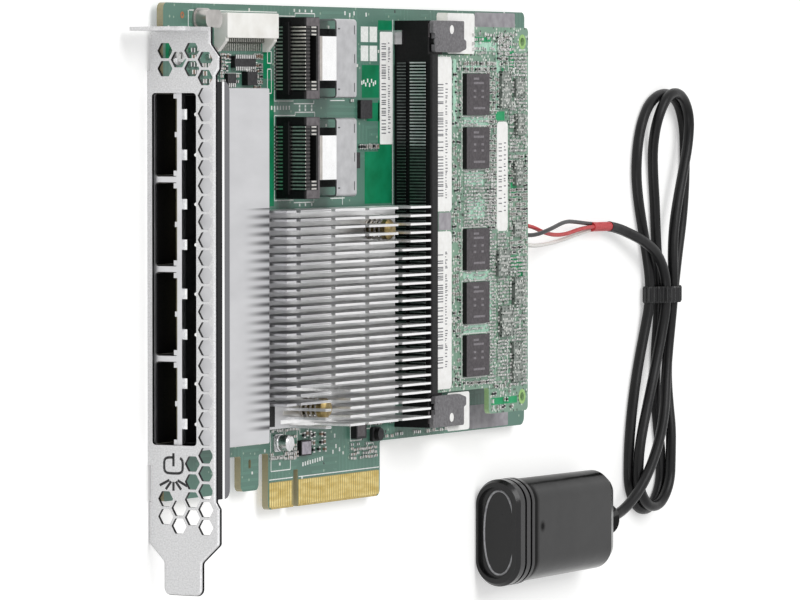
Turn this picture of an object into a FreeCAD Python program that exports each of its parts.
import FreeCAD, Part
import math
import os

# Raid controller card: a full-height expansion card lying on its solder side, with its cache
# module in a right-angle socket and the module's capacitor pack beside it on a hanked lead.
#
# Drawing frame, in millimetres: X runs along the card from the bracket's outer face, Y up the
# card from the tip of its edge contacts, Z from the table, through the board, to the component
# side. The shapes are moved at the end so that the origin is at the middle of the card's base.

V = FreeCAD.Vector

# ---- driving dimensions -------------------------------------------------------------------
# Board
board_thick = 1.57
board_under = 1.70          # table to solder side: the bracket's edge stands this much prouder
board_left = 1.20           # behind the bracket's outer face
board_length = 166.6
board_foot = 12.50          # lower edge above the tip of the edge contacts
board_height = 98.4
tab_left_length = 12.15     # edge tab, from the key's centre to its left end
tab_right_length = 38.65
key_x = 57.70
key_width = 1.90
key_depth = 8.20
hook_left = 33.60
hook_width = 7.80
ear_width = 22.80
ear_drop = 7.80
contact_pitch = 1.00
contact_width = 0.74
contact_length = 5.40
contact_thick = 0.05

# Bracket
sheet = 0.86
bracket_width = 17.80
bracket_top_gap = 5.30      # the tab lies this far below the board's upper edge
bracket_drop = 15.10        # its tongue reaches this far below the tip of the edge contacts
tongue_width = 9.70
tongue_low = 3.80           # the tongue's lower edge above the table
tab_length = 11.40
tab_notch = 4.40
flange_depth = 5.80
lug_length = 11.00
vent_pitch = 3.81
vent_flats = 3.25

# External ports
port_pitch = 19.05
port_count = 4
port_mid = 54.25            # centre of the row of ports above the tip of the edge contacts
port_wall = 1.20            # between two neighbouring ports
port_floor = 1.35
plug_height = 5.45
rail_thick = 1.15           # wall between a port's plug space and its latch space
latch_height = 4.00
cage_wall = 0.40
cage_depth = 29.50
cage_gap = 0.15             # from the bracket's inner face

# Internal ports
inner_x = 49.20
inner_width = 18.00
inner_first_down = 11.60    # centre of the upper one below the board's upper edge
inner_step = 21.90
inner_height = 7.35
inner_block = 6.50
inner_reach = 23.20
inner_pitch = 0.80
inner_ways = 18

# Heat sink and the chip below it
chip_size = 31.0
chip_height = 1.50
pad_thick = 0.20
sink_left = 31.60
sink_length = 65.60
sink_low = 18.05
sink_base = 1.80
fin_count = 26
fin_pitch = 1.905
fin_thick = 0.50
fin_height = 9.30
cross_pitch = 15.35
cross_width = 1.90
pin_radius = 1.45
pin_inset = 4.05            # push pins from the heat sink's long sides
pin_rows = 5                # fins cut back round each pin
spring_height = 4.20

# Cache module and its socket
module_top = 11.95
module_thick = 1.20
module_length = 49.00
module_low = 17.00
module_high_gap = 3.90      # below the board's upper edge
module_step_low_inset = 19.80
module_step_high_inset = 29.40
memory_length = 11.30
memory_width = 9.60
memory_height = 1.10
socket_inset = 64.40        # back of the socket from the board's far edge
socket_depth = 3.20
socket_low = 15.30
socket_high_gap = 2.70
socket_top = 12.90
latch_length = 16.00
latch_width = 7.20
latch_thick = 1.00
latch_gap = 0.30
pivot_radius = 1.00
pivot_clearance = 0.06
tail_depth = 1.60           # solder tails reach this far below the board

# Lead and capacitor pack
wire = 1.00
lead = 2.60
pack_inset = 19.20          # its end cap from the board's far edge
pack_length = 55.20
pack_width = 25.60
pack_height = 12.00
pack_middle = -12.15
cap_length = 8.20

# ---- sizes that follow --------------------------------------------------------------------
board_top = board_under + board_thick
board_right = board_left + board_length
board_high = board_foot + board_height
bracket_top = board_high - bracket_top_gap
port_width = port_pitch - port_wall
inner_first = board_high - inner_first_down
tab_left = key_x - tab_left_length
tab_right = key_x + tab_right_length
cage_low = port_mid - port_pitch * port_count / 2 - cage_wall
cage_high = port_mid + port_pitch * port_count / 2 + cage_wall
cage_left = sheet + cage_gap
cage_floor = port_floor - cage_wall
rail_low = port_floor + plug_height
latch_low = rail_low + rail_thick
cage_top = latch_low + latch_height + cage_wall
sink_bottom = board_top + chip_height + pad_thick
sink_deck = sink_bottom + sink_base
sink_top = sink_deck + fin_height
sink_right = sink_left + sink_length
sink_high = sink_low + fin_pitch * (fin_count - 1) + fin_thick
socket_left = board_right - socket_inset
socket_high = board_high - socket_high_gap
tower = latch_width + 0.5
bar_low = socket_low + tower
bar_high = socket_high - tower
module_left = socket_left + 0.6
module_right = module_left + module_length
module_high = board_high - module_high_gap
module_step_low = bar_low + 0.1
module_step_high = bar_high - 0.1
module_step_low_x = module_right - module_step_low_inset
module_step_high_x = module_right - module_step_high_inset
module_bottom = module_top - module_thick
tower_top = module_top + 0.15
latch_bottom = tower_top + latch_gap
latch_top = latch_bottom + latch_thick
pack_left = board_right - pack_inset
pack_right = pack_left + pack_length
centre_x = (board_right - tab_length) / 2
centre_y = (board_high - bracket_drop) / 2


# ---- building blocks ----------------------------------------------------------------------
def rounded_wire(points, radii, closed=True):
    """Straight runs through the points, each corner rounded by a tangent arc of its radius."""
    count = len(points)
    runs = []
    for i, corner in enumerate(points):
        inner = closed or 0 < i < count - 1
        if not inner or radii[i] <= 0:
            runs.append((corner, None, corner))
            continue
        back = (points[i - 1] - corner).normalize()
        ahead = (points[(i + 1) % count] - corner).normalize()
        half_turn = (math.pi - back.getAngle(ahead)) / 2
        trim = radii[i] * math.tan(half_turn)
        inward = (back + ahead).normalize()
        middle = corner + inward * (radii[i] / math.cos(half_turn) - radii[i])
        runs.append((corner + back * trim, middle, corner + ahead * trim))
    edges = []
    for i, (start, middle, end) in enumerate(runs):
        if middle is not None:
            edges.append(Part.Arc(start, middle, end).toShape())
        if i + 1 < count or closed:
            following = runs[(i + 1) % count][0]
            if end.distanceToPoint(following) > 1e-6:
                edges.append(Part.LineSegment(end, following).toShape())
    return Part.Wire(edges)


def slab(corners, low, high):
    """A flat plate: corners of (x, y, radius) in plan, from one height to another."""
    points = [V(x, y, low) for x, y, _ in corners]
    wire_loop = rounded_wire(points, [r for _, _, r in corners])
    return Part.Face(wire_loop).extrude(V(0, 0, high - low))


def upright(corners, near, far):
    """A plate that stands across the card: corners of (y, z, radius), from one X to another."""
    points = [V(near, y, z) for y, z, _ in corners]
    wire_loop = rounded_wire(points, [r for _, _, r in corners])
    return Part.Face(wire_loop).extrude(V(far - near, 0, 0))


def lengthwise(corners, low, high):
    """A section (x, z, radius) run up the card, from one Y to another."""
    points = [V(x, low, z) for x, z, _ in corners]
    wire_loop = rounded_wire(points, [r for _, _, r in corners])
    return Part.Face(wire_loop).extrude(V(0, high - low, 0))


def block(x, y, z, radius=0.0):
    """A block between pairs of limits along X, Y and Z, its upright edges rounded."""
    corners = [(x[0], y[0], radius), (x[1], y[0], radius), (x[1], y[1], radius), (x[0], y[1], radius)]
    return slab(corners, z[0], z[1])


def post(x, y, low, high, radius):
    """A round bar that stands on the card."""
    return Part.makeCylinder(radius, high - low, V(x, y, low))


# ---- board --------------------------------------------------------------------------------
screw_x = 6.20
screw_low_y = board_foot - ear_drop / 2
screw_high_y = board_high - 10.70
screw_radius = 1.50


def circuit_board():
    """The board's outline: edge tab with its key, hook tab, bracket ear and cage recess."""
    key_left = key_x - key_width / 2
    key_right = key_x + key_width / 2
    foot = board_foot
    ear_low = foot - ear_drop
    recess_low = cage_low - 0.6
    recess_high = cage_high + 0.6
    recess_x = board_left + 7.8
    corners = [
        (board_left, board_high, 1.5), (board_left, recess_high, 0), (recess_x, recess_high, 0.8),
        (recess_x, recess_low, 0.8), (board_left, recess_low, 0), (board_left, ear_low, 0.6),
        (board_left + ear_width, ear_low, 1.5), (board_left + ear_width, foot, 0.6),
        (hook_left, foot, 0.6), (hook_left, ear_low, 1.4), (hook_left + hook_width, ear_low, 1.4),
        (hook_left + hook_width, foot, 0.6), (tab_left, foot, 0.6), (tab_left, 0, 1.2),
        (key_left, 0, 0), (key_left, key_depth, 0), (key_right, key_depth, 0), (key_right, 0, 0),
        (tab_right, 0, 1.6), (tab_right, foot, 0.6), (board_right, foot, 2.0),
        (board_right, board_high, 1.5),
    ]
    board = slab(corners, board_under, board_top)
    for y in (screw_low_y, screw_high_y):
        board = board.cut(post(screw_x, y, board_under, board_top, screw_radius))
    slot_x = hook_left + hook_width / 2
    slot_y = foot - 1.9
    slot = block((slot_x - 0.5, slot_x + 0.5), (slot_y - 1.0, slot_y + 1.0), (board_under, board_top), 0.49)
    return board.cut(slot)


def edge_contacts():
    """Gold pads on both faces of the edge tab, none across the key."""
    pads = []
    count = int((tab_right - tab_left) / contact_pitch)
    for i in range(count):
        x = tab_left + 0.9 + contact_pitch * i
        in_key = abs(x - key_x) < key_width / 2 + contact_width / 2 + 0.2
        if in_key or x + contact_width / 2 > tab_right - 0.3:
            continue
        side = (x - contact_width / 2, x + contact_width / 2)
        along = (0.45, 0.45 + contact_length)
        pads.append(block(side, along, (board_top, board_top + contact_thick)))
        pads.append(block(side, along, (board_under - contact_thick, board_under)))
    return Part.Compound(pads)


# ---- bracket ------------------------------------------------------------------------------
def vent(y, z):
    """One six-sided vent with its points toward the bracket's long edges."""
    reach = vent_flats / math.sqrt(3)
    corners = []
    for i in range(6):
        turn = math.radians(60 * i)
        corners.append((y + reach * math.sin(turn), z + reach * math.cos(turn), 0.3))
    return upright(corners, -1, sheet + 1)


def vent_centres():
    """Honeycomb rows: a patch above the ports, a column beside them and a patch below."""
    half = vent_pitch / 2
    columns = [4.45 + vent_pitch * math.sqrt(3) / 2 * i for i in range(4)]
    high = bracket_top - 6.9
    low = cage_low - 2.7
    centres = [(high + half, columns[0]), (high - half, columns[0]), (high, columns[1])]
    centres += [(high + half, columns[2]), (high - half, columns[2])]
    centres += [(high - vent_pitch * i, columns[3]) for i in range(int((high + 1) / vent_pitch) + 1)]
    centres += [(low - vent_pitch * i, columns[2]) for i in range(4)]
    centres += [(low - vent_pitch * (2.5 + i), columns[1]) for i in range(2)]
    centres += [(low - vent_pitch * (2 + i), columns[0]) for i in range(2)]
    return centres


def bracket():
    """Folded steel bracket: face, screw tab, stiffening flange and two lugs under the board."""
    wide = bracket_width
    tongue_high = tongue_low + tongue_width
    tip = -bracket_drop
    shoulder = wide - 0.9
    face = upright([
        (bracket_top, 1.9, 0), (bracket_top - 2.3, 0, 0.6), (-4.1, 0, 1.0), (-8.0, tongue_low, 1.0),
        (tip, tongue_low, 1.6), (tip, tongue_high, 1.6), (-8.0, tongue_high, 1.0), (-4.0, wide, 1.0),
        (3.6, wide, 0.6), (5.0, shoulder, 0.6), (bracket_top - 10.3, shoulder, 0.4),
        (bracket_top - 9.0, wide, 0.4), (bracket_top - 6.3, wide, 0.4),
        (bracket_top - 3.6, shoulder - 1.2, 0.4), (bracket_top, shoulder - 1.2, 0),
    ], 0, sheet)
    window_z = (port_floor - 0.15, cage_top - cage_wall + 0.15)
    window_y = (cage_low + 1.1, cage_high - 1.1)
    face = face.cut(upright([
        (window_y[0], window_z[0], 0.8), (window_y[1], window_z[0], 0.8),
        (window_y[1], window_z[1], 0.8), (window_y[0], window_z[1], 0.8)], -1, sheet + 1))
    for y, z in vent_centres():
        face = face.cut(vent(y, z))

    tab = lengthwise([(0, 1.9, 0), (-tab_length, 1.9, 1.6), (-tab_length, shoulder - 1.2, 1.6),
                      (0, shoulder - 1.2, 0)], bracket_top - sheet, bracket_top)
    notch_left = 5.2 - tab_length - tab_notch / 2
    notch_right = notch_left + tab_notch
    round_end = tab_notch / 2 - 0.01
    tab = tab.cut(lengthwise([
        (notch_left, 9.6, round_end), (notch_right, 9.6, round_end),
        (notch_right, wide, 0), (notch_left, wide, 0),
    ], bracket_top - 2 * sheet, bracket_top + sheet))

    high = bracket_top - 11.6
    flange = slab([(0, 5.6, 0), (flange_depth, 5.6, 2.0), (flange_depth, high, 2.0), (0, high, 0)],
                  shoulder - sheet, shoulder)
    lugs = []
    for y in (screw_low_y, screw_high_y):
        lug = slab([(0, y - 3.6, 0), (lug_length, y - 3.6, 2.0), (lug_length, y + 3.6, 2.0), (0, y + 3.6, 0)],
                   board_under - sheet, board_under)
        relief = block((-1, sheet + 1), (y - 3.9, y + 3.9), (-1, board_under - sheet))
        face = face.cut(relief)
        lugs.append(lug.cut(post(screw_x, y, 0, board_under, screw_radius)))
    folded = face.fuse([tab, flange] + lugs).removeSplitter()
    outer = [e for e in folded.Edges if is_outer_bend(e, shoulder)]
    return folded.makeFillet(0.78, outer)


def is_outer_bend(edge, shoulder):
    """True for the two long outside corners where the tab and the flange fold from the face."""
    box = edge.BoundBox
    thin_x = box.XLength < 0.001 and abs(box.XMin) < 0.001
    along_flange = box.ZLength < 0.001 and abs(box.ZMin - shoulder) < 0.001 and box.YLength > 40
    return thin_x and along_flange


def bracket_screws():
    """Two pan-head screws from the component side into the bracket's tapped lugs."""
    screws = []
    for y in (screw_low_y, screw_high_y):
        shank = [(0, board_under - sheet), (screw_radius, board_under - sheet), (screw_radius, board_top)]
        head = [(2.7, board_top), (2.7, board_top + 0.8), (2.0, board_top + 1.5), (0, board_top + 1.7)]
        points = [V(screw_x + r, y, z) for r, z in shank + head]
        profile = Part.Face(Part.makePolygon(points + [points[0]]))
        turned = profile.revolve(V(screw_x, y, 0), V(0, 0, 1), 360)
        cross = block((screw_x - 1.3, screw_x + 1.3), (y - 0.25, y + 0.25), (board_top + 0.9, board_top + 3))
        turn = cross.copy()
        turn.rotate(V(screw_x, y, 0), V(0, 0, 1), 90)
        screws.append(turned.cut(cross.fuse(turn)))
    return Part.Compound(screws)


# ---- external ports -----------------------------------------------------------------------
def port_centre(i):
    """Height up the card of port i, counted from the lowest."""
    return port_mid + port_pitch * (i - (port_count - 1) / 2)


def port_cage():
    """Ganged sheet cage: a plug space for each port below a rail, one latch space above it."""
    right = cage_left + cage_depth
    shell = upright([(cage_low, cage_floor, 0.5), (cage_high, cage_floor, 0.5),
                     (cage_high, cage_top, 0.5), (cage_low, cage_top, 0.5)], cage_left, right)
    half = port_width / 2
    for i in range(port_count):
        y = port_centre(i)
        plug = upright([(y - half, port_floor, 0.9), (y + half, port_floor, 0.9),
                        (y + half, rail_low, 0.5), (y - half, rail_low, 0.5)], cage_left - 1, right - cage_wall)
        shell = shell.cut(plug)
    low = cage_low + cage_wall + port_wall / 2
    high = cage_high - cage_wall - port_wall / 2
    shell = shell.cut(upright([(low, latch_low, 0.3), (high, latch_low, 0.3), (high, cage_top - cage_wall, 0.6),
                               (low, cage_top - cage_wall, 0.6)], cage_left - 1, cage_left + 11))
    below = block((board_left + 7.8 - 1, right + 1), (cage_low - 1, cage_high + 1), (-1, board_top))
    return shell.cut(below)


def port_insert(i):
    """Moulded body at the back of a port, with the paddle that carries the contacts."""
    y = port_centre(i)
    half = port_width / 2
    front = cage_left + 12
    back = cage_left + cage_depth - cage_wall
    body = upright([(y - half, board_top, 0), (y + half, board_top, 0),
                    (y + half, rail_low, 0.5), (y - half, rail_low, 0.5)], front, back)
    middle = port_floor + plug_height / 2
    paddle = upright([(y - 7.2, middle - 0.5, 0), (y + 7.2, middle - 0.5, 0),
                      (y + 7.2, middle + 0.6, 0.2), (y - 7.2, middle + 0.6, 0.2)], front - 6, front)
    return body.fuse(paddle).removeSplitter()


def port_fingers():
    """Sprung grounding fingers in the latch space of each port, two up and two down."""
    fingers = []
    ceiling = cage_top - cage_wall
    for i in range(port_count):
        for side in (-1, 1):
            y = port_centre(i) + side * 4.3
            fingers.append(upright([(y - 1.1, latch_low, 0), (y + 1.1, latch_low, 0),
                                    (y + 1.1, latch_low + 1.5, 0.3), (y - 1.1, latch_low + 1.5, 0.3)],
                                   cage_left + 0.6, cage_left + 0.9))
            fingers.append(upright([(y - 1.0, ceiling, 0), (y + 1.0, ceiling, 0), (y, ceiling - 1.5, 0.2)],
                                   cage_left + 0.6, cage_left + 0.9))
    return Part.Compound(fingers)


# ---- parts near the top edge --------------------------------------------------------------
header_left = 22.40
header_length = 22.10
header_width = 5.40
header_high = board_high - 1.90
header_low = header_high - header_width
header_height = 3.40
header_pitch = 0.80


def header_body():
    """White receptacle for a flat lead: its mouth faces the board's upper edge, a cheek at each end."""
    top = board_top + header_height
    right = header_left + header_length
    body = block((header_left, right), (header_low, header_high), (board_top, top), 0.3)
    mouth = block((header_left + 1.6, right - 1.6), (header_high - 3.6, header_high + 1),
                  (board_top + 0.9, top - 0.9))
    body = body.cut(mouth)
    slope = [(header_low + 0.5, board_top, 0), (header_low - 3.0, board_top, 0),
             (header_low - 3.0, board_top + 0.9, 0.3), (header_low - 0.6, top - 0.5, 0.3),
             (header_low + 0.5, top - 0.5, 0)]
    ends = [upright(slope, header_left, header_left + 1.3), upright(slope, right - 1.3, right)]
    return body.fuse(ends).removeSplitter()


def header_contacts():
    """Contact tails that come out along the header's lower side and lie on the board."""
    tails = []
    count = int((header_length - 3.2) / header_pitch)
    for i in range(count):
        x = header_left + 1.9 + header_pitch * i
        bent = upright([(header_low, board_top + 1.2, 0), (header_low - 0.9, board_top + 1.2, 0.3),
                        (header_low - 1.2, board_top + 0.25, 0.1), (header_low - 2.8, board_top + 0.25, 0),
                        (header_low - 2.8, board_top, 0), (header_low - 0.9, board_top, 0.2),
                        (header_low - 0.6, board_top + 0.9, 0.1), (header_low, board_top + 0.9, 0)],
                       x - 0.18, x + 0.18)
        tails.append(bent)
    return Part.Compound(tails)


def crystal_can():
    """Flat metal crystal can beside the header."""
    high = board_high - 1.0
    can = block((13.6, 20.6), (high - 4.2, high - 0.4), (board_top, board_top + 3.2), 1.7)
    rim = block((13.2, 21.0), (high - 4.6, high), (board_top, board_top + 0.4), 2.0)
    return can.fuse(rim).removeSplitter()


# ---- internal ports -----------------------------------------------------------------------
def inner_centre(i):
    """Height up the card of internal port i, counted from the top."""
    return inner_first - inner_step * i


def inner_body(i):
    """Black block of an internal port, with the grooves its leads lie in and its paddle."""
    y = inner_centre(i)
    half = inner_width / 2
    right = inner_x + inner_block
    top = board_top + inner_height
    body = lengthwise([(inner_x, board_top, 0), (right, board_top, 0), (right, top, 0.3), (inner_x, top, 0.4)],
                      y - half, y + half)
    span = inner_pitch * (inner_ways - 1) / 2 + 0.5
    groove = block((inner_x - 1, inner_x + 0.45), (y - span, y + span), (board_top + 3.6, top + 1))
    slot = block((inner_x + 2.0, inner_x + 4.9), (y - 5.0, y + 5.0), (top - 2.2, top + 1), 0.3)
    body = body.cut(groove).cut(slot)
    bar = lengthwise([(inner_x - 0.7, board_top + 2.0, 0.2), (inner_x, board_top + 2.0, 0),
                      (inner_x, board_top + 3.6, 0), (inner_x - 0.7, board_top + 3.6, 0.2)],
                     y - half + 1, y + half - 1)
    paddle = block((right, right + 12.5), (y - 6.6, y + 6.6), (board_top + 3.2, board_top + 4.4), 0.4)
    return body.fuse([bar, paddle]).removeSplitter()


def inner_leads(i):
    """Leads of an internal port: up the back of the block and over onto its top."""
    leads = []
    y = inner_centre(i)
    top = board_top + inner_height
    low = board_top
    back = inner_x + 0.45
    for k in range(inner_ways):
        at = y + inner_pitch * (k - (inner_ways - 1) / 2)
        over = [(back, low + 3.6, 0), (back, top, 0), (back + 1.5, top, 0), (back + 1.5, top + 0.15, 0),
                (back - 0.2, top + 0.15, 0.3), (back - 0.2, low + 3.6, 0)]
        foot = [(inner_x, low, 0), (inner_x, low + 2.0, 0), (inner_x - 0.2, low + 2.0, 0),
                (inner_x - 0.2, low + 0.2, 0.1), (inner_x - 1.1, low + 0.2, 0), (inner_x - 1.1, low, 0)]
        leads.append(lengthwise(over, at - 0.17, at + 0.17))
        leads.append(lengthwise(foot, at - 0.17, at + 0.17))
    return Part.Compound(leads)


def inner_shell(i):
    """Folded shell of an internal port: an arch over the mouth, held by a tongue and six legs."""
    y = inner_centre(i)
    half = inner_width / 2 - 0.2
    left = inner_x + 14.1
    right = inner_x + inner_reach
    top = board_top + inner_height
    metal = 0.35
    arch = upright([(y - half, board_top, 0), (y - half, top, 0.9), (y + half, top, 0.9),
                    (y + half, board_top, 0), (y + half - metal, board_top, 0),
                    (y + half - metal, top - metal, 0.55),
                    (y - half + metal, top - metal, 0.55), (y - half + metal, board_top, 0)], left, right)
    tongue = block((inner_x + inner_block, left), (y - 4.9, y + 4.9), (top - metal, top))
    lip_left = inner_x + inner_block
    lip = block((lip_left, lip_left + metal), (y - 4.9, y + 4.9), (top - 2.2, top))
    return arch.fuse([tongue, lip]).removeSplitter()


# ---- heat sink ----------------------------------------------------------------------------
upper_cut = sink_right - cross_pitch
lower_cut = sink_right - 3 * cross_pitch
push_pins = [(upper_cut + 2.9, sink_high - pin_inset - 1.1), (lower_cut + 4.4, sink_low + pin_inset)]


def controller_chip():
    """Square ball-grid chip with a bevelled mould cap."""
    x = (sink_left + sink_right) / 2
    y = (sink_low + sink_high) / 2
    half = chip_size / 2
    carrier = block((x - half, x + half), (y - half, y + half), (board_top, board_top + 0.9), 0.4)
    inner = half - 2
    cap = block((x - inner, x + inner), (y - inner, y + inner), (board_top + 0.9, board_top + chip_height), 0.8)
    return carrier.fuse(cap).removeSplitter()


def thermal_pad():
    """Soft sheet between the chip and the heat sink."""
    x = (sink_left + sink_right) / 2
    y = (sink_low + sink_high) / 2
    half = chip_size / 2 - 3
    low = board_top + chip_height
    return block((x - half, x + half), (y - half, y + half), (low, low + pad_thick), 0.5)


def heat_sink():
    """Extruded comb of thin fins, cut across into columns, its fins cut back beside each push pin."""
    comb = [(sink_low, sink_bottom, 0)]
    for i in range(fin_count):
        side = sink_low + fin_pitch * i
        comb += [(side, sink_top, 0), (side + fin_thick, sink_top, 0)]
        if i + 1 < fin_count:
            comb += [(side + fin_thick, sink_deck, 0), (side + fin_pitch, sink_deck, 0)]
    comb.append((sink_high, sink_bottom, 0))
    sink = upright(comb, sink_left, sink_right)
    columns = int(sink_length / cross_pitch) + 1
    over = (sink_deck, sink_top + 1)
    for i in range(1, columns):
        left = sink_right - cross_pitch * i
        sink = sink.cut(block((left, left + cross_width), (sink_low - 1, sink_high + 1), over))
    rows = fin_pitch * (pin_rows - 0.5)
    sink = sink.cut(block((upper_cut, upper_cut + 5.7), (sink_high - rows, sink_high + 1), over))
    sink = sink.cut(block((lower_cut, lower_cut + 8.7), (sink_low - 1, sink_low + rows), over))
    sink = sink.cut(block((sink_left - 1, lower_cut - 2.5), (sink_low - 1, sink_low + fin_pitch * 2.5), over))
    for x, y in push_pins:
        sink = sink.cut(post(x, y, sink_bottom - 1, sink_deck + 1, pin_radius + 0.1))
    return sink


def heat_sink_pins():
    """Brass push pins: split barbed foot below the board level, collar and domed head."""
    pins = []
    for x, y in push_pins:
        low = board_top
        collar = sink_deck + spring_height
        outline = [(0, low), (pin_radius, low), (pin_radius, collar), (2.3, collar), (2.3, collar + 1.2),
                   (1.5, collar + 2.0), (0, collar + 2.1)]
        points = [V(x + r, y, z) for r, z in outline]
        profile = Part.Face(Part.makePolygon(points + [points[0]]))
        pins.append(profile.revolve(V(x, y, 0), V(0, 0, 1), 360))
    return Part.Compound(pins)


def heat_sink_springs():
    """Coil springs that press the heat sink down, each drawn as its turns stacked as rings."""
    springs = []
    coil = 0.55
    for x, y in push_pins:
        turns = 4
        rise = (spring_height - coil) / (turns - 1)
        for i in range(turns):
            ring = Part.makeTorus(2.05, coil / 2, V(x, y, sink_deck + coil / 2 + rise * i), V(0, 0, 1))
            springs.append(ring)
    return Part.Compound(springs)


# ---- module socket ------------------------------------------------------------------------
pivot_x = socket_left + 1.60
pivot_inset = 4.80          # pivot from the socket's end


def latch_sides():
    """For each end of the socket: its outer end, and which way is inward."""
    return [(socket_high, -1), (socket_low, 1)]


def module_socket():
    """Right-angle socket: slotted bar between two towers, each with a boss for its latch."""
    right = socket_left + socket_depth
    section = [(socket_left, board_top, 0), (right + 1.5, board_top, 0),
               (right + 1.5, module_bottom - 1.2, 0.4), (right, module_bottom - 0.4, 0),
               (right, module_bottom, 0), (module_left, module_bottom, 0), (module_left, module_top, 0),
               (right, module_top, 0), (right, socket_top, 0.2), (socket_left, socket_top, 0.5)]
    socket = lengthwise(section, bar_low, bar_high)
    towers = []
    for end, inward in latch_sides():
        near = min(end, end + inward * tower)
        far = max(end, end + inward * tower)
        side = [(socket_left, board_top, 0), (right + 5.6, board_top, 0), (right + 5.6, tower_top - 2.0, 1.0),
                (right + 3.4, tower_top, 0.8), (socket_left, tower_top, 0.3)]
        block_up = lengthwise(side, near, far)
        pocket = block((right + 0.8, right + 3.4), (near + 1.6, far - 1.6),
                       (tower_top - 3.5, tower_top + 1), 0.5)
        boss = post(pivot_x, end + inward * pivot_inset, tower_top - 1, latch_top - 0.3, pivot_radius)
        towers.append(block_up.cut(pocket).fuse(boss))
    return socket.fuse(towers).removeSplitter()


def socket_latch(end, inward):
    """Flat ejector lever: heel over the boss, finger hole, and a nose toward the module."""
    left = socket_left - 0.10
    right = left + latch_length
    outer = end
    inner = end + inward * latch_width
    neck = end + inward * (latch_width * 0.58)
    plate = slab([
        (left, outer + inward * 0.2, 0.5), (left + 1.0, outer, 0.4), (right - 1.1, outer, 0.5),
        (right - 1.1, neck, 0.3), (right, neck + inward * 0.4, 0.5), (right, inner - inward * 0.8, 0.6),
        (right - 3.2, inner, 0.6), (left + 0.9, inner, 0.6), (left + 0.9, outer + inward * 3.0, 0.2),
        (left, outer + inward * 2.8, 0.2),
    ], latch_bottom, latch_top)
    hole = post(left + 9.0, end + inward * 2.0, latch_bottom - 1, latch_top + 1, 1.05)
    bore_radius = pivot_radius + pivot_clearance
    bore = post(pivot_x, end + inward * pivot_inset, latch_bottom - 1, latch_top + 1, bore_radius)
    return plate.cut(hole).cut(bore)


def socket_contacts():
    """Contact tails on the back of the socket: two combs, the upper one longer."""
    pitch = 1.20
    length = socket_high - socket_low - 2 * latch_width - 4
    start = socket_low + latch_width + 2
    count = int(length / pitch)
    combs = []
    for low, high, out in ((board_top + 0.9, board_top + 3.2, 0.45), (board_top + 4.6, board_top + 8.2, 0.35)):
        for i in range(count):
            y = start + pitch * (i + 0.5)
            tail = block((socket_left - out, socket_left), (y - 0.3, y + 0.3), (low, high))
            combs.append(tail)
    return Part.Compound(combs)


def socket_tails():
    """Solder tails of the socket below the board: the two rows that the card lies on."""
    pitch = 4.0
    length = socket_high - socket_low - 10
    count = int(length / pitch)
    tails = []
    for i in range(count):
        y = socket_low + 7 + pitch * i
        for x in (socket_left + 1.2, socket_left + 4.0):
            tails.append(Part.makeCone(0.75, 0.35, tail_depth, V(x, y, board_under), V(0, 0, -1)))
    return Part.Compound(tails)


def socket_locks():
    """Sheet metal hold-down clips beside each tower."""
    clips = []
    for end, inward in latch_sides():
        y = end + inward * 2.2
        far = y + inward * 3.2
        clip = block((socket_left - 0.6, socket_left), (min(y, far), max(y, far)), (board_top, board_top + 2.2))
        clips.append(clip)
    return Part.Compound(clips)


# ---- cache module -------------------------------------------------------------------------
memory_centres = [91.4, 79.0, 55.6, 43.2, 31.0]
memory_left = module_left + 16.20


def module_board():
    """Module board: full width beyond the latches, cut back beside them, two plated holes."""
    board = slab([
        (module_left, module_step_high, 0), (module_left, module_step_low, 0),
        (module_step_low_x, module_step_low, 0.8), (module_step_low_x, module_low, 1.2),
        (module_right, module_low, 1.2), (module_right, module_high, 1.2),
        (module_step_high_x, module_high, 1.2), (module_step_high_x, module_step_high, 0.8),
    ], module_bottom, module_top)
    for y in (module_low + 3.3, module_high - 3.3):
        board = board.cut(post(module_right - 3.0, y, module_bottom - 1, module_top + 1, 1.0))
    return board


def memory_row(low):
    """Five chips in a column, their lower faces at one height."""
    chips = []
    half = memory_width / 2
    for y in memory_centres:
        chips.append(block((memory_left, memory_left + memory_length), (y - half, y + half),
                           (low, low + memory_height), 0.25))
    return Part.Compound(chips)


def module_chips():
    """Power and flash chips along the module's outer side."""
    places = [
        (12.5, 92.5, 5.0, 8.6, 0.9), (5.4, 93.0, 4.4, 4.4, 0.8), (12.0, 38.4, 6.2, 7.2, 1.0),
        (6.6, 28.6, 4.6, 9.2, 0.9), (6.0, 73.0, 4.0, 6.0, 1.1), (13.6, 52.0, 6.0, 6.0, 0.9),
        (6.1, 45.4, 4.6, 6.4, 1.0), (6.2, 60.0, 4.0, 4.0, 0.8), (5.6, 84.4, 3.6, 5.0, 1.2),
    ]
    chips = []
    for inset, y, length, width, height in places:
        x = module_right - inset
        chips.append(block((x - length / 2, x + length / 2), (y - width / 2, y + width / 2),
                           (module_top, module_top + height), 0.2))
    return Part.Compound(chips)


plug_low = 54.30
plug_high = 62.90


def lead_socket():
    """Three-way receptacle under the module's outer edge, open toward the edge."""
    low = module_bottom - 3.9
    body = block((module_right - 8.6, module_right - 0.4), (plug_low, plug_high), (low, module_bottom), 0.3)
    mouth = block((module_right - 6.4, module_right + 1), (plug_low + 0.7, plug_high - 0.7),
                  (low + 0.6, module_bottom - 0.6))
    return body.cut(mouth)


def lead_plug():
    """Plug on the three wires, seated in the receptacle."""
    low = module_bottom - 3.3
    return block((module_right - 6.4, module_right + 1.4), (plug_low + 0.8, plug_high - 0.8),
                 (low + 0.05, low + 2.6), 0.2)


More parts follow.
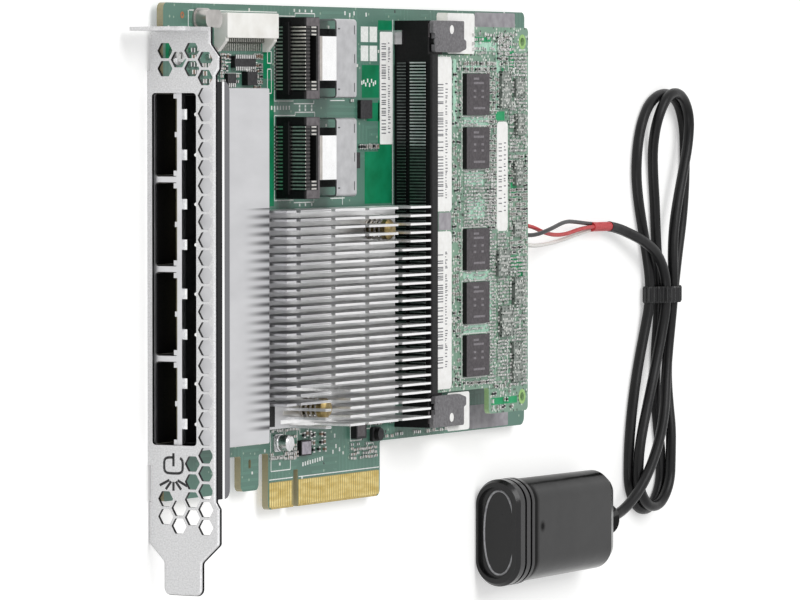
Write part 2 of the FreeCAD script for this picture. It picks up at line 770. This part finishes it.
# ---- other parts on the board -------------------------------------------------------------
def board_chips():
    """Leadless chips and power stages near the board's two long edges."""
    places = [
        (34.0, 98.4, 9.0, 2.6, 1.1), (36.4, 94.8, 4.2, 3.0, 1.5), (28.6, 94.6, 3.6, 2.6, 0.9),
        (60.7, 12.9, 4.6, 3.4, 1.1), (85.2, 15.3, 4.6, 3.3, 1.5), (88.6, 88.0, 5.4, 4.2, 0.9),
        (84.0, 76.5, 3.6, 3.6, 0.8),
    ]
    chips = []
    for x, y, length, width, height in places:
        chips.append(block((x - length / 2, x + length / 2), (y - width / 2, y + width / 2),
                           (board_top, board_top + height), 0.2))
    return Part.Compound(chips)


def power_coil():
    """Moulded power inductor: square foot under a round winding cap."""
    x = 93.6
    y = 14.2
    foot = block((x - 2.0, x + 2.0), (y - 1.6, y + 1.6), (board_top, board_top + 0.8), 0.5)
    return foot.fuse(post(x, y, board_top, board_top + 1.9, 1.4)).removeSplitter()


def round_capacitor():
    """Electrolytic can on a square foot, with its rolled groove and shoulder."""
    x = 49.4
    y = 14.6
    radius = 1.9
    foot = block((x - radius, x + radius), (y - radius, y + radius), (board_top, board_top + 0.5), 0.4)
    outline = [(0, 0.5), (radius - 0.1, 0.5), (radius - 0.1, 1.0), (radius - 0.3, 1.2), (radius - 0.1, 1.4),
               (radius - 0.1, 3.3), (radius - 0.4, 3.6), (0, 3.6)]
    points = [V(x + r, y, board_top + z) for r, z in outline]
    can = Part.Face(Part.makePolygon(points + [points[0]])).revolve(V(x, y, 0), V(0, 0, 1), 360)
    return foot.fuse(can).removeSplitter()


# ---- lead, hank and pack ------------------------------------------------------------------
# Routes and outlines here are measured along the card from the board's far edge.
bundle_low = 0.03
hank_top = 2 * lead + 0.4


def lead_tube(points, diameter, name):
    """A tube along straight runs joined by the largest tangent arcs that the runs allow."""
    route = [V(board_right + x, y, z) for x, y, z in points]
    radii = [0.0]
    for i in range(1, len(route) - 1):
        back = route[i - 1] - route[i]
        ahead = route[i + 1] - route[i]
        half_turn = (math.pi - back.getAngle(ahead)) / 2
        radii.append(0.45 * min(back.Length, ahead.Length) / math.tan(half_turn))
    radii.append(0.0)
    path = rounded_wire(route, radii, closed=False)
    start = route[1] - route[0]
    ring = Part.Wire(Part.makeCircle(diameter / 2, route[0], start))
    tube = path.makePipeShell([ring], True, False)
    expected = math.pi * diameter ** 2 / 4 * path.Length
    print(name, "length", round(path.Length, 1), "radii", [round(r, 1) for r in radii[1:-1]],
          "volume ratio", round(tube.Volume / expected, 4))
    return tube


wire_routes = {
    "wire_red": [(-13.1, 60.6, 8.6), (-5.8, 60.3, 7.9), (4.2, 58, 7), (15.2, 57.2, 5.4), (28.2, 58.6, 3.6),
                 (38.2, 59.6, 2.9), (46.8, 59.6, 2.6)],
    "wire_black": [(-13.1, 58.4, 8.6), (-6.8, 57.6, 8.7), (2.2, 59.6, 9.9), (14.2, 62.4, 7.9), (26.2, 61.8, 6),
                   (38.2, 58.2, 3.7), (46.8, 58.1, 2.7)],
    "wire_white": [(-13.1, 56.2, 8.6), (-6.8, 55.4, 8.4), (3.2, 55.4, 6.6), (16.2, 55.8, 4), (28.2, 57, 2.3),
                   (38.2, 58.6, 1.7), (46.8, 58.9, 1.4)],
}
lead_in = [(47.2, 58.9, 2.3), (52.8, 58, 2.9), (58.2, 56.6, 3.5), (63.4, 54.9, 4), (68.4, 52.6, 4.2)]
lead_out = [(41.4, -12.8, 5.2), (47, -12, 5.2), (52.2, -9.4, 4.9), (56.6, -5.6, 4.4), (60.4, -1.2, 3.9)]


hank_outline = [
    (69.4, 41, 30), (61.8, 70, 24), (67.4, 93.2, 11), (94.2, 93.4, 10), (94, 68, 40),
    (87.4, 42, 40), (81.8, 12, 30), (79.6, -10.4, 7), (61.6, -10.4, 7), (59.6, 4, 20),
]
tie_low = 39.30
tie_width = 4.00


def lead_hank():
    """The tied hank as one slab of its outer shape: two loops above the tie, two below."""
    return slab([(board_right + x, y, radius) for x, y, radius in hank_outline], bundle_low, hank_top)


def round_hank(margin, low, high):
    """A slab that stands clear of the hank's sides by a margin."""
    corners = [V(board_right + x, y, low) for x, y, _ in hank_outline]
    outline = Part.Face(rounded_wire(corners, [r for _, _, r in hank_outline]))
    return outline.makeOffset2D(margin).extrude(V(0, 0, high - low))


def hank_tie():
    """Cloth tie over the hank, a loose fit at its sides."""
    near = (tie_low, tie_low + tie_width)
    wrap = round_hank(1.1, 0.02, hank_top + 1.1)
    wrap = wrap.common(block((board_right, board_right + 120), near, (0, 20)))
    return wrap.cut(round_hank(0.3, -1, hank_top + 0.3))


def clear_of_hank(tube):
    """The tube cut off a small gap before the side of the hank."""
    return tube.cut(round_hank(0.3, -1, 20))


def pack_section(x, shrink):
    """Stadium section of the pack at one X, drawn in by a margin all round."""
    half = pack_width / 2 - shrink
    low = 0.02 + shrink * 0.5
    high = pack_height - shrink
    corner = (high - low) / 2 - 0.02
    near = pack_middle - half
    far = pack_middle + half
    points = [V(x, near, low), V(x, far, low), V(x, far, high), V(x, near, high)]
    return rounded_wire(points, [corner] * 4)


nose_end = pack_right + 5.20


def capacitor_pack():
    """Sealed cells in a shrunk sleeve: flat-sided body that draws in to a nose at the lead."""
    start = pack_left + cap_length
    end = pack_right
    steps = [(start, 0.5), (end - 5.0, 0.8), (end - 1.6, 2.0), (end, 4.0)]
    body = Part.makeLoft([pack_section(x, shrink) for x, shrink in steps], True, True)
    nose = Part.makeCone(3.0, lead / 2 + 0.25, nose_end - end + 1.0, V(end - 1.0, -12.8, 5.2), V(1, 0, 0))
    return body.fuse(nose).removeSplitter()


def pack_end_cap():
    """Moulded end cap: rim round a shallow oval recess, and two grooves round its skirt."""
    start = pack_left
    end = pack_left + cap_length
    steps = [(start, 0.8), (start + 1.0, 0.1), (end, 0.1)]
    body = Part.makeLoft([pack_section(x, shrink) for x, shrink in steps], True, True)
    recess = Part.Face(pack_section(start - 1, 2.0)).extrude(V(2.2, 0, 0))
    body = body.cut(recess)
    for x in (start + 3.2, start + 6.0):
        ring = Part.Face(pack_section(x, 0.0)).cut(Part.Face(pack_section(x, 0.6))).extrude(V(0.9, 0, 0))
        body = body.cut(ring)
    return body


# ---- output -------------------------------------------------------------------------------
def pieces():
    """Every node of the card with its shape, in the drawing frame."""
    made = {
        "circuit_board": circuit_board(),
        "edge_contacts": edge_contacts(),
        "bracket": bracket(),
        "bracket_screws": bracket_screws(),
        "port_cage": port_cage(),
        "port_fingers": port_fingers(),
        "header_body": header_body(),
        "header_contacts": header_contacts(),
        "crystal_can": crystal_can(),
        "controller_chip": controller_chip(),
        "thermal_pad": thermal_pad(),
        "heat_sink": heat_sink(),
        "heat_sink_pins": heat_sink_pins(),
        "heat_sink_springs": heat_sink_springs(),
        "module_socket": module_socket(),
        "socket_contacts": socket_contacts(),
        "socket_tails": socket_tails(),
        "socket_locks": socket_locks(),
        "module_board": module_board(),
        "memory_chips": memory_row(module_top),
        "memory_chips_under": memory_row(module_bottom - memory_height),
        "module_chips": module_chips(),
        "lead_socket": lead_socket(),
        "lead_plug": lead_plug(),
        "board_chips": board_chips(),
        "power_coil": power_coil(),
        "round_capacitor": round_capacitor(),
        "lead_cable_in": clear_of_hank(lead_tube(lead_in, lead, "lead_cable_in")),
        "lead_cable_out": clear_of_hank(lead_tube(lead_out, lead, "lead_cable_out")),
        "lead_hank": lead_hank(),
        "hank_tie": hank_tie(),
        "capacitor_pack": capacitor_pack(),
        "pack_end_cap": pack_end_cap(),
    }
    for i in range(port_count):
        made["port_insert_%d" % (i + 1)] = port_insert(i)
    for i in range(2):
        made["inner_body_%d" % (i + 1)] = inner_body(i)
        made["inner_leads_%d" % (i + 1)] = inner_leads(i)
        made["inner_shell_%d" % (i + 1)] = inner_shell(i)
    for name, (end, inward) in zip(("latch_upper", "latch_lower"), latch_sides()):
        made[name] = socket_latch(end, inward)
    for name, route in wire_routes.items():
        made[name] = lead_tube(route, wire, name)
    return made


os.makedirs("parts", exist_ok=True)
for node, shape in pieces().items():
    shape.translate(V(-centre_x, -centre_y, 0))
    shape.exportStep("parts/%s.step" % node)
    print(node, "solids", len(shape.Solids), "valid", shape.isValid(), "volume", round(shape.Volume, 1))
